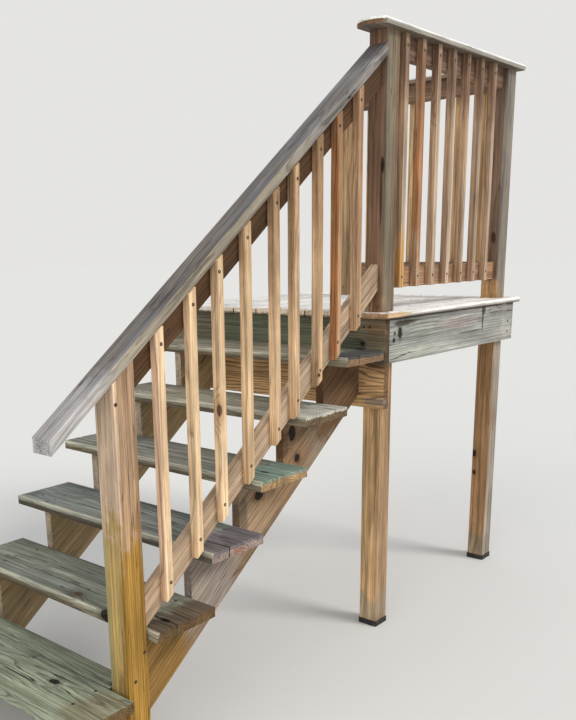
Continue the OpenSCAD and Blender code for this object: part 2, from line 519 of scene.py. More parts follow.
def new_material(name: str) -> tuple[Material, Sheet]:
    """Makes a material with a Principled shader.

    Args:
        name: Name of the material.

    Returns:
        The material, and the sheet of its nodes.
    """
    made = bpy.data.materials.new(name)
    made.use_nodes = True
    return made, Sheet(made.node_tree)


class GroupKit:
    """The node groups that all finishes share, each built once."""

    def start(self, name: str, vectors: Sequence[str],
              numbers: Sequence[str]) -> tuple[Sheet, dict[str, Wire]]:
        """Makes a new group with its inputs.

        Args:
            name: Name of the group.
            vectors: Names of its vector inputs.
            numbers: Names of its number inputs.

        Returns:
            The group's sheet, and its inputs by name.
        """
        sheet = Sheet(bpy.data.node_groups.new(name, "ShaderNodeTree"))
        for kind, labels in (("NodeSocketVector", vectors), ("NodeSocketFloat", numbers)):
            for label in labels:
                sheet.tree.interface.new_socket(name=label, in_out="INPUT", socket_type=kind)
        return sheet, sheet.wires("NodeGroupInput")

    def close(self, sheet: Sheet, **masks: Wire) -> NodeTree:
        """Gives a group its outputs.

        Args:
            sheet: The group's sheet.
            masks: The numbers that it puts out, by name.

        Returns:
            The finished group.
        """
        for label in masks:
            sheet.tree.interface.new_socket(name=label, in_out="OUTPUT",
                                            socket_type="NodeSocketFloat")
        sheet.add("NodeGroupOutput", masks)
        return sheet.tree

    @cached_property
    def stain_and_light(self) -> NodeTree:
        """The group that masks a ragged patch, for stains and for painted light and shade."""
        sheet, given = self.start("stain_patch", ("Point", "Grain Point", "Centre", "Size"),
                                  ("Rag", "Soft"))
        away = (given["Point"] - given["Centre"]) / given["Size"]
        broken = sheet.noise(given["Grain Point"], (5.0, 42.0, 42.0), 4.0, 0.65) + sheet.noise(
            given["Point"], (12.0, 12.0, 12.0), 3.0, 0.6)
        reach = sheet.measure("LENGTH", away) + (broken - 1.0) * given["Rag"] * 1.6
        return self.close(sheet, Mask=sheet.smooth(reach, given["Soft"] + 1.0,
                                                   1.0 - given["Soft"]))

    @cached_property
    def knot(self) -> NodeTree:
        """The group that masks one knot and the grain round it."""
        sheet, given = self.start("knot_spot", ("Point", "Centre", "Stretch"), ("Radius",))
        away = (given["Point"] - given["Centre"]) / given["Stretch"]
        wobble = sheet.noise(given["Point"], (45.0, 45.0, 45.0)) * 0.5 + 0.75
        far = sheet.measure("LENGTH", away) / given["Radius"] * wobble
        ring = sheet.math("SINE", far * 7.0) * 0.06 + 0.94
        return self.close(sheet, Core=sheet.smooth(far, 1.3, 1.05) * ring,
                          Halo=sheet.smooth(far, 2.6, 1.0))

    @cached_property
    def lumber(self) -> NodeTree:
        """The group that draws rings, fibres, knots and cracks."""
        sheet, given = self.start("lumber_figure", ("Point",), (
            "Radius", "Ring Gap", "Wave", "Knot Share", "Rings", "Streaks"))
        at = given["Point"]
        cell = sheet.wires("ShaderNodeTexVoronoi", {"Vector": at * (4.2, 7.0, 7.0), "Scale": 1.0})
        chance = sheet.wires("ShaderNodeSeparateColor", {0: cell["Color"]})["Red"]
        picked = sheet.math("LESS_THAN", chance, given["Knot Share"])
        core = sheet.smooth(cell["Distance"], 0.11, 0.07) * picked
        halo = sheet.smooth(cell["Distance"], 0.42, 0.06) * picked

        slow = sheet.noise(at, (1.1, 5.0, 5.0)) - 0.5
        quick = sheet.noise(at, (5.0, 22.0, 22.0), 3.0) - 0.5
        wander = given["Wave"] * (quick * 0.5 + slow * 3.0)
        radius = given["Radius"] + (halo * 0.013 + wander)
        late = sheet.ramp(sheet.math("FRACT", radius / given["Ring Gap"]), (
            (0.0, 0.45), (0.08, 0.0), (0.5, 0.05), (0.82, 0.6), (0.95, 1.0), (1.0, 0.45)))
        streak = sheet.noise(at, (1.0, 42.0, 42.0), 3.0, 0.6)
        fibre = sheet.noise(at, (8.0, 240.0, 240.0), 3.0, 0.7)
        tone = sheet.noise(at, (1.6, 6.0, 6.0), 3.0, 0.55)
        line = abs(sheet.noise(at, (1.7, 48.0, 48.0), 1.0) - 0.5)
        where = sheet.smooth(sheet.noise(at, (1.3, 11.0, 11.0)), 0.49, 0.62)
        mottle = sheet.smooth(sheet.noise(at, (3.5, 17.0, 17.0), 4.0, 0.62), 0.3, 0.7, 0.8, 1.2)
        lines = sheet.smooth(sheet.noise(at, (1.4, 120.0, 120.0), 2.0, 0.6), 0.3, 0.7, 0.78, 1.2)
        fine = mottle * lines * sheet.smooth(fibre, 0.25, 0.75, 0.86, 1.14)
        dark = sheet.smooth(streak, 0.5, 0.7) * given["Streaks"]
        pale = sheet.smooth(streak, 0.48, 0.28) * given["Streaks"]
        grain = 1.16 - late * given["Rings"] * 0.55 - dark * 0.45 + pale * 0.22
        return self.close(sheet, Late=late, Fibre=fibre, Streak=streak, Tone=tone,
                          Crack=sheet.smooth(line, 0.016, 0.004) * where, Knot=core,
                          Halo=halo, Fine=fine, Shade=grain * fine)


@dataclass
class WoodShop:
    """Makes a material for each board from its finish, and keeps the shared groups."""

    kit: GroupKit = field(default_factory=GroupKit)
    count: int = 0

    def group(self, sheet: Sheet, tree: NodeTree, **values: Value) -> dict[str, Wire]:
        """Places a shared group in a material with its own values."""
        inputs = {label.replace("_", " "): value for label, value in values.items()}
        return sheet.wires("ShaderNodeGroup", inputs, node_tree=tree)

    def material(self, name: str, finish: WoodFinish, grain: Grain, middle: Vector,
                 wear_and_light: WearAndLight) -> Material:
        """Builds the material of one node.

        Args:
            name: Name of the material.
            finish: Its colours and figure.
            grain: The way the boards run.
            middle: Middle of the node, where the log's heart is set out from.
            wear_and_light: What the weather and use have left on the boards, and painted light and
                shade.

        Returns:
            The new material.
        """
        self.count += 1
        made, sheet = new_material(name)
        here = sheet.here()
        point = sheet.wires("ShaderNodeMapping", {
            "Vector": here - tuple(middle), "Rotation": grain.turn})["Vector"]
        luck = sheet.wires("ShaderNodeTexWhiteNoise", {
            "W": self.board_number(sheet, here, wear_and_light.row)}, noise_dimensions="1D")
        moved = point + luck["Color"] * (9.0, 3.0, 3.0)
        heart = point - (0.0, *finish.pith) + luck["Color"] * (0.0, 0.05, 0.05)
        radius = sheet.measure("LENGTH", heart * (0.0, 1.0, 1.0))

        core: Value = 0.0
        halo: Value = 0.0
        for knot in wear_and_light.knots:
            spot = self.group(sheet, self.kit.knot, Point=here, Centre=knot.place,
                              Stretch=knot.stretch, Radius=knot.radius)
            core = sheet.math("MAXIMUM", core, spot["Core"])
            halo = sheet.math("MAXIMUM", halo, spot["Halo"])
        figure = self.group(sheet, self.kit.lumber, Point=moved, Radius=radius + halo * 0.02,
                            Ring_Gap=finish.gap, Wave=finish.wave, Knot_Share=finish.knots,
                            Rings=finish.rings, Streaks=finish.streaks)
        halo = sheet.math("MAXIMUM", halo, figure["Halo"])

        facing = sheet.wires("ShaderNodeNewGeometry")["Normal"]
        colour = self.face_colour(sheet, finish, figure, luck["Value"])
        cut = sheet.smooth(abs(sheet.measure("DOT_PRODUCT", facing, grain.line)), 0.62, 0.74)
        rays = sheet.mix(figure["Late"] * 0.55, finish.end, finish.dark)
        colour = sheet.mix(cut * 0.9, colour, rays * figure["Fine"])
        for side in wear_and_light.sides:
            towards = sheet.smooth(sheet.measure("DOT_PRODUCT", facing, side.out), 0.72, 0.86,
                                   0.0, side.amount)
            colour = sheet.mix(towards, colour, figure["Shade"] * side.colour)
        # Patches of stain, and of painted shade and highlights, each mixed in with its own colour
        for stain_and_light in wear_and_light.stains_and_light:
            patch = self.group(sheet, self.kit.stain_and_light, Point=here, Grain_Point=point,
                               Centre=stain_and_light.place, Size=stain_and_light.size, Rag=stain_and_light.rag,
                               Soft=stain_and_light.soft)
            colour = sheet.mix(patch["Mask"] * stain_and_light.amount, colour,
                               figure["Shade"] * stain_and_light.colour)
        if wear_and_light.row is not None and wear_and_light.row.dirt is not None:
            dirty = self.gap_dirt(sheet, here, wear_and_light.row) * 0.85
            colour = sheet.mix(dirty, colour, wear_and_light.row.dirt)
        colour = sheet.mix(halo * 0.5, colour, figure["Fine"] * finish.dark)
        colour = sheet.mix(figure["Knot"] * 0.9, colour, KNOT_RED)
        colour = sheet.mix(core, colour, KNOT_CORE)
        deep = figure["Crack"] * finish.checks
        colour = sheet.mix(deep, colour, CRACK)

        rough = sheet.smooth(figure["Streak"], 0.2, 0.8, finish.rough - 0.1, finish.rough + 0.12)
        relief = (figure["Fibre"] * 0.35 + figure["Late"] * 0.5 - deep * 1.8
                  + sheet.math("MAXIMUM", core, figure["Knot"]) * 0.5)
        sheet.surface(Base_Color=colour, Roughness=rough, Specular_IOR_Level=0.15,
                      Normal=sheet.bump(relief, 0.0012, 0.7))
        return made

    def board_number(self, sheet: Sheet, here: Wire, row: BoardRow | None) -> Value:
        """Tells the boards of a node apart.

        Args:
            sheet: The material's nodes.
            here: Object coordinates.
            row: How the boards are told apart.

        Returns:
            A number that is the same all over one board.
        """
        start = self.count * MATERIAL_STEP
        if row is None:
            return start
        low, high = row.edges[0] - 0.1, row.edges[-1] + 0.1
        stops = [(0.0, 0.0)] + [((edge - low) / (high - low), (i + 1) / MOST_BOARDS)
                                for i, edge in enumerate(row.edges)]
        step = sheet.ramp((sheet.axis(here, row.axis) - low) / (high - low), stops, "CONSTANT")
        whole = sheet.math("ROUND", step * float(MOST_BOARDS))
        return sheet.math("MULTIPLY_ADD", whole, BOARD_STEP, start)

    def gap_dirt(self, sheet: Sheet, here: Wire, row: BoardRow) -> Wire:
        """Lays dirt along the gaps between boards.

        Args:
            sheet: The material's nodes.
            here: Object coordinates.
            row: How the boards are told apart.

        Returns:
            The mask of the dirt.
        """
        pitch = row.edges[1] - row.edges[0]
        turns = (sheet.axis(here, row.axis) - row.edges[0]) / pitch
        nearest = abs(turns - sheet.math("ROUND", turns)) + sheet.math("LESS_THAN", turns, -0.5)
        broken = sheet.noise(here, (9.0, 40.0, 9.0), 4.0, 0.6) * 0.06 - 0.02
        return sheet.smooth(nearest - broken, 0.034, 0.006)

    def face_colour(self, sheet: Sheet, finish: WoodFinish, figure: dict[str, Wire],
                    luck: Wire) -> Wire:
        """Mixes the face colour of a board.

        Args:
            sheet: The material's nodes.
            finish: Colours and figure of the board.
            figure: Outputs of the lumber group.
            luck: The board's own random number.

        Returns:
            The colour before knots, stains and end grain.
        """
        tone, streak = figure["Tone"], figure["Streak"]
        bright = tuple(min(1.0, part * 1.35) for part in paint(finish.light))
        base = sheet.mix(sheet.smooth(luck, 0.35, 0.95, 0.0, 0.8), finish.light, finish.second)
        rings = figure["Late"] * sheet.smooth(tone, 0.3, 0.65, finish.rings * 0.55, finish.rings)
        for share, colour in (
                (rings, finish.dark),
                (sheet.smooth(streak, 0.46, 0.72, 0.0, finish.streaks), finish.dark),
                (sheet.smooth(streak, 0.5, 0.26, 0.0, finish.streaks * 0.6), bright),
                (sheet.smooth(tone, 0.42, 0.62) * finish.greying, finish.grey)):
            base = sheet.mix(share, base, colour)
        return base * figure["Fine"]


def clear_selection() -> None:
    """Deselects everything, so that an operator acts only on what follows."""
    for thing in bpy.context.selected_objects:
        thing.select_set(False)


def steel() -> Material:
    """Makes the dull coated steel of the screw heads.

    Returns:
        The new material.
    """
    made, sheet = new_material("screw_steel")
    worn = sheet.noise(sheet.here(), (300.0, 300.0, 300.0), 3.0)
    sheet.surface(Base_Color=sheet.mix(sheet.smooth(worn, 0.4, 0.65), "483e30", "705234"),
                  Roughness=sheet.smooth(worn, 0.3, 0.7, 0.4, 0.65), Metallic=0.6)
    return made


def countersink() -> Material:
    """Makes the dark crushed wood round a screw head.

    Returns:
        The new material.
    """
    made, sheet = new_material("screw_hole_wood")
    mottle = sheet.noise(sheet.here(), (250.0, 250.0, 250.0), 3.0)
    sheet.surface(Base_Color=sheet.mix(mottle, "24180f", "4a3220"), Roughness=0.85)
    return made


@dataclass
class ScrewBox:
    """Screws of one size, modelled once and copied to their places.

    Attributes:
        radius: Radius of the head.
        sides: Number of facets round it.
        pattern: The modelled head, from the first screws on.
    """

    radius: float = 0.0045
    sides: int = 14
    pattern: Object | None = None

    def model(self) -> Object:
        """Models one screw head in its countersunk hole, facing up at the origin.

        Returns:
            The head.
        """
        clear_selection()
        bpy.ops.mesh.primitive_circle_add(vertices=self.sides, radius=self.radius * 1.45,
                                          fill_type="NGON", location=(0.0, 0.0, 0.0003))
        head = bpy.context.active_object
        head.data.materials.append(countersink())
        head.data.materials.append(steel())
        bpy.ops.object.mode_set(mode="EDIT")
        bpy.ops.mesh.select_mode(type="FACE")
        bpy.ops.mesh.select_all(action="SELECT")
        bpy.ops.mesh.extrude_region_move(
            TRANSFORM_OT_translate={"value": (0.0, 0.0, 0.0002)})
        bpy.ops.mesh.inset(thickness=self.radius * 0.3, depth=-0.0002)
        bpy.context.object.active_material_index = 1
        bpy.ops.mesh.inset(thickness=self.radius * 0.12, depth=0.0004)
        bpy.ops.object.material_slot_assign()
        bpy.ops.mesh.inset(thickness=self.radius * 0.55, depth=0.0)
        bpy.ops.mesh.extrude_region_move(
            TRANSFORM_OT_translate={"value": (0.0, 0.0, -0.0005)})
        bpy.ops.object.mode_set(mode="OBJECT")
        return head

    def drive(self, name: str, places: Sequence[tuple[Point, Point]], slot: str) -> None:
        """Puts copies of the head at their places, as one piece.

        Args:
            name: Name of the piece.
            places: Point and outward direction of each screw.
            slot: Name of a material slot; not used.
        """
        if self.pattern is None:
            self.pattern = self.model()
        copies = []
        for i, (spot, out) in enumerate(places):
            mesh = self.pattern.data.copy()
            face = Vector(out).to_track_quat("Z", "Y").to_matrix().to_4x4()
            spin = Matrix.Rotation(i * 0.7, 4, "Z")
            mesh.transform(Matrix.Translation(spot) @ face @ spin)
            copy = bpy.data.objects.new(f"{name}_{i}", mesh)
            bpy.context.scene.collection.objects.link(copy)
            copies.append(copy)
        clear_selection()
        for copy in copies:
            copy.select_set(True)
        bpy.context.view_layer.objects.active = copies[0]
        bpy.ops.object.join()
        piece = bpy.context.active_object
        piece.name = name
        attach(piece, "root")
        LOG.info("%s: %d screws, %d faces", name, len(places), len(piece.data.polygons))

    def put_away(self) -> None:
        """Removes the pattern once the last screws are in."""
        if self.pattern is not None:
            bpy.data.objects.remove(self.pattern)
            self.pattern = None


@dataclass
class Assembly:
    """A part of the stairs: its CAD nodes, with a finish for each, and its screws.

    Attributes:
        nodes: The CAD nodes by name.
        shop: Where the materials are made.
        screws: Where the screws come from.
    """

    nodes: dict[str, Object]
    shop: WoodShop
    screws: ScrewBox

    def dress(self, node: str, finish: WoodFinish, grain: Grain,
              wear_and_light: WearAndLight = WearAndLight()) -> None:
        """Gives one node its wood and softens its sharp edges.

        Args:
            node: Name of the CAD node.
            finish: Its colours and figure.
            grain: The way its boards run.
            wear_and_light: What the weather and use have left on them, and painted light and
                shade.
        """
        low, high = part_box(node)
        made = self.shop.material(f"{node}_wood", finish, grain, (low + high) / 2, wear_and_light)
        self.cover(node, made)
        self.soften(node)
        LOG.info("%s: dressed, grain %s", node, grain.name.lower())

    def cover(self, node: str, made: Material) -> None:
        """Puts a material in all of a node's slots.

        Args:
            node: Name of the CAD node.
            made: The material.
        """
        piece = self.nodes[node]
        if not piece.material_slots:
            piece.data.materials.append(made)
        for place in piece.material_slots:
            place.material = made

    def soften(self, node: str, width: float = 0.002) -> None:
        """Rounds the edges that the saw left sharp.

        Args:
            node: Name of the CAD node.
            width: Width of the rounding.
        """
        piece = self.nodes[node]
        weld = piece.modifiers.new("joined_corners", "WELD")
        weld.merge_threshold = 0.00002
        round_off = piece.modifiers.new("worn_edges", "BEVEL")
        round_off.width = width
        round_off.segments = 2
        round_off.limit_method = "ANGLE"
        round_off.angle_limit = math.radians(50.0)
        round_off.harden_normals = False


@dataclass
class Landing(Assembly):
    """The landing: posts, pads, rims, hanger board and deck.

    Attributes:
        width: Width of a deck board with its gap.
        joists: Middles of the boards under the deck, from left to right.
    """

    width: float = 0.144
    joists: tuple[float, ...] = (-0.619, -0.187, 0.226, 0.581)

    def build(self) -> None:
        """Dresses the landing and drives its screws."""
        self.dress("post_left", Wood.POST, Grain.UPRIGHT, WearAndLight(stains_and_light=(
            StainAndLight((LEFT_X, -1.27, 0.75), (0.012, 0.2, 0.66), "7c5e4c", 0.9, 0.5, 0.1),
            StainAndLight((-0.55, POST_Y, 0.75), (0.2, 0.012, 0.66), "797060", 0.9, 0.5, 0.1),
            StainAndLight((-0.525, POST_Y, 0.75), (0.008, 0.02, 0.66), "78563e", 0.7, 0.6),
            # painted light: the lower left face is lightened against the shade under the deck
            StainAndLight((LEFT_X, -1.27, -0.80), (0.012, 0.2, 0.62), "cea87a", 0.8, 0.4, 0.1),
            StainAndLight((-0.555, POST_Y, -0.85), (0.2, 0.012, 0.60), "a08264", 0.75, 0.5, 0.1),
            StainAndLight((-0.56, -1.27, -1.26), (0.2, 0.2, 0.07), "968c7c", 0.6, 1.0),
            StainAndLight((LEFT_X, -1.302, 0.72), (0.02, 0.010, 0.035), "261811", 0.95, 0.5),
            StainAndLight((LEFT_X, -1.298, 0.60), (0.02, 0.006, 0.12), "402c22", 0.8, 0.5),
        )))
        self.dress("post_right", Wood.POST, Grain.UPRIGHT, WearAndLight(stains_and_light=(
            StainAndLight((RIGHT_X, -1.27, 0.76), (0.012, 0.2, 0.60), "7a6152", 0.9, 0.5, 0.1),
            StainAndLight((0.56, POST_Y, 0.75), (0.2, 0.012, 0.66), "847f78", 0.85, 0.5, 0.1),
            StainAndLight((RIGHT_X, -1.28, 0.155), (0.012, 0.2, 0.058), "c49e6e", 0.9, 0.5, 0.2),
            StainAndLight((0.56, POST_Y, -0.80), (0.2, 0.012, 0.75), "968e84", 0.85, 0.5, 0.1),
            StainAndLight((RIGHT_X, -1.27, -0.55), (0.012, 0.2, 0.66), "a07954", 0.8, 0.6, 0.2),
            StainAndLight((RIGHT_X, -1.284, 0.43), (0.02, 0.012, 0.028), "462c22", 0.9, 0.5),
            StainAndLight((0.56, -1.27, -1.26), (0.2, 0.2, 0.06), "8c8070", 0.6, 1.0),
        ), knots=(
            Knot((RIGHT_X, -1.2384, -0.726), 0.010, (1.0, 1.0, 1.6)),
            Knot((RIGHT_X, -1.2442, -0.834), 0.007, (1.0, 1.0, 1.6)),
        )))
        self.dress("outer_fascia", Wood.FASCIA, Grain.ALONG, WearAndLight(stains_and_light=(
            StainAndLight((0.258, FASCIA_Y, 0.028), (0.040, 0.02, 0.014), "525248", 0.75, 1.5),
            StainAndLight((0.40, FASCIA_Y, 0.045), (0.05, 0.02, 0.006), "46463c", 0.8, 0.9),
            StainAndLight((-0.30, FASCIA_Y, -0.075), (0.34, 0.03, 0.03), "c4c4b8", 0.6, 0.5),
            StainAndLight((-0.46, FASCIA_Y, 0.07), (0.10, 0.03, 0.012), "3c3026", 0.85, 0.9),
            StainAndLight((0.30, FASCIA_Y, 0.0), (0.42, 0.03, 0.2), "a49e9e", 0.5, 0.8, 0.5),
            StainAndLight((0.02, FASCIA_Y, 0.03), (0.16, 0.03, 0.022), "a68c80", 0.4, 1.6, 0.6),
            # painted shadow: dark line along the fascia's top, under the deck boards' edge
            StainAndLight((0.0, FASCIA_Y, 0.097), (3.0, 0.012, 0.009), "3a2e26", 0.9, 0.3, 0.3),
            StainAndLight((0.56, FASCIA_Y, 0.0), (0.06, 0.03, 0.12), "b2b0a6", 0.7, 0.5),
            StainAndLight((0.284, FASCIA_Y, 0.036), (0.008, 0.02, 0.064), "3e3c36", 0.85, 0.4),
            StainAndLight((0.290, FASCIA_Y, 0.076), (0.020, 0.02, 0.022), "32302a", 0.8, 0.8),
            StainAndLight((0.17, FASCIA_Y, -0.020), (0.115, 0.02, 0.005), "54524a", 0.8, 0.4),
        ), knots=(
            Knot((-0.515, FASCIA_Y, 0.028), 0.017, (0.8, 1.0, 1.2)),
            Knot((-0.5634, FASCIA_Y, 0.0), 0.008),
            Knot((-0.5580, FASCIA_Y, 0.030), 0.006),
        )))
        self.dress("stair_side_rim", Wood.RIM, Grain.ACROSS, WearAndLight(stains_and_light=(
            StainAndLight((RIM_X, -1.19, -0.03), (0.05, 0.06, 0.045), "465244", 0.75, 1.2),
            StainAndLight((RIM_X, -1.22, -0.055), (0.03, 0.035, 0.02), "242622", 0.85, 1.0),
            StainAndLight((RIM_X, -1.19, 0.05), (0.03, 0.04, 0.015), "342a1e", 0.85, 1.0),
            StainAndLight((RIM_X, -1.31, 0.05), (0.03, 0.05, 0.03), "7a6246", 0.7, 0.8),
            StainAndLight((RIM_X, -0.7, 0.0), (0.03, 0.4, 0.12), "626c58", 0.6, 0.6),
        ), knots=(Knot((RIM_X, -1.246, -0.012), 0.008, (1.0, 1.4, 1.0)),)))
        self.dress("far_end_rim", Wood.FASCIA, Grain.ACROSS)
        self.dress("hanger_board", Wood.HANGER, Grain.ACROSS, WearAndLight(stains_and_light=(
            StainAndLight((RIM_X, -1.33, -0.10), (0.03, 0.07, 0.016), "544230", 0.8, 0.8),
            StainAndLight((RIM_X, -1.32, -0.262), (0.03, 0.06, 0.014), "8c847a", 0.7, 0.8),
        ), sides=(Side(OUTWARD, "74583e", 0.9),)))
        for node, grain in (("ledger", Grain.ALONG), ("joist_left", Grain.ACROSS),
                            ("joist_right", Grain.ACROSS)):
            self.dress(node, Wood.FRAMING, grain)
        half_gap = 0.002
        gaps = tuple(DECK_Y - half_gap + self.width * i for i in range(1, 10))
        self.dress("deck_boards", Wood.DECK, Grain.ALONG, WearAndLight(
            row=BoardRow(1, gaps, "76583e"),
            sides=(Side(OUTWARD, "a8a29a", 0.9),
                   Side(DOWN, "967a5c", 0.8),
                   Side(FOOTWARD, "e4dcd0", 0.95)),
            stains_and_light=(
                # painted highlight along the outer top edge of the deck boards
                StainAndLight((0.0, DECK_Y, DECK_Z), (3.0, 0.01, 0.012), "f6f5f1", 0.9, 0.4, 0.3),
                # painted shadow along the lower edge of the deck boards' outer face
                StainAndLight((0.0, DECK_Y, DECK_Z - 0.025), (3.0, 0.012, 0.006), "5c5046",
                      0.85, 0.6, 0.3),
                StainAndLight((-0.58, DECK_Y, DECK_Z - 0.010), (0.11, 0.012, 0.010), "ceaa7c", 0.85, 0.8),
                # painted shadow along the lower edge of the deck boards' ends
                StainAndLight((DECK_X, -0.7, DECK_Z - 0.025), (0.012, 3.0, 0.008), "544232",
                      0.85, 0.6, 0.3),
                StainAndLight((DECK_X, -1.33, DECK_Z - 0.012), (0.012, 0.09, 0.012), "a87e58", 0.85, 0.8),
                StainAndLight((LEFT_X, -1.29, DECK_Z), (0.035, 0.055, 0.03), "805e40", 0.8, 0.9),
                StainAndLight((0.5, -1.30, DECK_Z), (0.12, 0.05, 0.03), "d6c4aa", 0.6, 0.9),
                # painted shade with warm reflected light on the deck next to the stairs
                StainAndLight((-0.645, -0.9, DECK_Z), (0.03, 0.42, 0.03), "ceb08c", 0.6, 0.9),
            )))
        for node in ("pad_left", "pad_right"):
            self.cover(node, self.rubber(node))
            LOG.info("%s: dressed in rubber", node)
        self.fasten(gaps)

    def rubber(self, node: str) -> Material:
        """Makes the black, dusty rubber of a pad under a post.

        Args:
            node: Name of the pad's CAD node.

        Returns:
            The new material.
        """
        made, sheet = new_material(f"{node}_rubber")
        here = sheet.here()
        dust = sheet.smooth(sheet.noise(here, (40.0, 40.0, 60.0), 4.0, 0.6), 0.45, 0.75)
        sheet.surface(Base_Color=sheet.mix(dust, "141416", "46403a"),
                      Roughness=sheet.smooth(dust, 0.0, 1.0, 0.55, 0.9),
                      Normal=sheet.bump(sheet.noise(here, (300.0, 300.0, 300.0)), 0.0006))
        return made

    def fasten(self, gaps: Sequence[float]) -> None:
        """Drives the deck screws, two for each board at each joist, and those of the rims.

        Args:
            gaps: Places of the gaps between the deck boards.
        """
        heads = []
        from_middle = 0.042
        for middle in (edge - self.width / 2 for edge in gaps):
            for x in self.joists:
                for y in (middle - from_middle, middle + from_middle):
                    near_post = abs(y - POST_MIDDLE_Y) < 0.055 and abs(abs(x) - 0.6) < 0.05
                    if not near_post:
                        heads.append(((x, y, DECK_Z), UP))
        self.screws.drive("deck_screws", heads, "deck_wood")
        rim = [((x, FASCIA_Y, z), OUTWARD) for x in (self.joists[0], self.joists[-1])
               for z in (-0.055, 0.0, 0.055)]
        rim += [((RIM_X, y, z), FOOTWARD) for y in (-1.28, -1.25) for z in (-0.05, 0.06)]
        self.screws.drive("rim_screws", rim, "fascia_wood")


@dataclass
class LandingGuard(Assembly):
    """The guard round the landing: rails, balusters, end post and flat caps.

    Attributes:
        pitch: Distance from one baluster to the next.
        cap_top: Height of the caps' top face.
    """

    pitch: float = 0.136
    cap_top: float = 1.258

    def build(self) -> None:
        """Dresses the guard and drives its screws."""
        sides = (Side(OUTWARD, "979187", 0.9), Side(DOWN, "584636", 0.9),
                 Side(FOOTWARD, "70563e", 0.9))
        for side, grain in (("outer", Grain.ALONG), ("end", Grain.ACROSS)):
            # painted shade: the top rails' outward faces are darkened as in the shadow under the
            # caps
            self.dress(f"{side}_guard_top_rail", Wood.GUARD_RAIL, grain, WearAndLight(
                sides=(Side(OUTWARD, "765e50", 0.8),)))
            self.dress(f"{side}_guard_bottom_rail", Wood.GUARD_RAIL, grain, WearAndLight(
                sides=(Side(OUTWARD, "a88365", 0.8),)))
            self.dress(f"{side}_guard_cap", Wood.CAP, grain, WearAndLight(sides=sides, stains_and_light=(
                # painted highlight: pale band over the caps' top and their upper 8.5 mm
                StainAndLight((0.0, 0.0, self.cap_top), (9.0, 9.0, 0.0085), "f6f6f2", 0.9, 0.1, 0.15),)))
        self.dress("end_guard_post", Wood.END_POST, Grain.UPRIGHT)
        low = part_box("outer_guard_balusters")[0]
        edges = tuple(low.x - MID_GAP + self.pitch * i for i in range(1, 7))
        self.dress("outer_guard_balusters", Wood.GUARD_BALUSTER, Grain.UPRIGHT, WearAndLight(
            row=BoardRow(0, edges), sides=(Side(FOOTWARD, "ac8a6c", 0.75),),
            stains_and_light=(
                StainAndLight((low.x + 0.15, -1.34, 0.72), (0.03, 0.05, 0.5), "b27442", 0.7, 0.8),
                StainAndLight((low.x + BALUSTER / 2, -1.34, 0.30), (0.03, 0.05, 0.20), "cc9646", 0.7, 0.8),
                StainAndLight((0.0, -1.34, 1.12), (1.2, 0.05, 0.14), "705444", 0.7, 0.7, 0.6),
                StainAndLight((-0.414, GUARD_Y, 0.6545), (0.009, 0.02, 0.012), "281a14", 0.9, 0.3),
                StainAndLight((-0.079, GUARD_Y, 0.6993), (0.009, 0.02, 0.010), "281a14", 0.9, 0.3),
            )))
        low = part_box("end_guard_balusters")[0]
        inner = tuple(low.y - MID_GAP + self.pitch * i for i in range(1, 6))
        self.dress("end_guard_balusters", Wood.END_BALUSTER, Grain.UPRIGHT,
                   WearAndLight(row=BoardRow(1, inner)))
        self.fasten()

    def fasten(self) -> None:
        """Drives the screws of the balusters and the caps."""
        low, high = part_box("outer_guard_balusters")
        heads = [((x, low.y, z), OUTWARD) for x in self.middles(low.x, high.x)
                 for z in (low.z + SCREW_IN, high.z - SCREW_IN)]
        low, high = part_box("end_guard_balusters")
        heads += [((high.x, y, z), ENDWARD) for y in self.middles(low.y, high.y)
                  for z in (low.z + SCREW_IN, high.z - SCREW_IN)]
        self.screws.drive("guard_screws", heads, "baluster_wood")
        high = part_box("outer_guard_cap")[1]
        caps = [((x, POST_MIDDLE_Y + off, high.z), UP)
                for x in (-0.58, -0.30, 0.0, 0.30, 0.58) for off in (-0.016, 0.02)]
        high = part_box("end_guard_cap")[1]
        caps += [((RIGHT_MIDDLE_X + off, y, high.z), UP)
                 for y in (-1.10, -0.85, -0.60, -0.36) for off in (-0.016, 0.02)]
        self.screws.drive("cap_screws", caps, "cap_wood")

    def middles(self, low: float, high: float) -> list[float]:
        """Returns the middles of the balusters that stand from low to high."""
        count = round((high - low - BALUSTER) / self.pitch) + 1
        return [low + BALUSTER / 2 + i * self.pitch for i in range(count)]


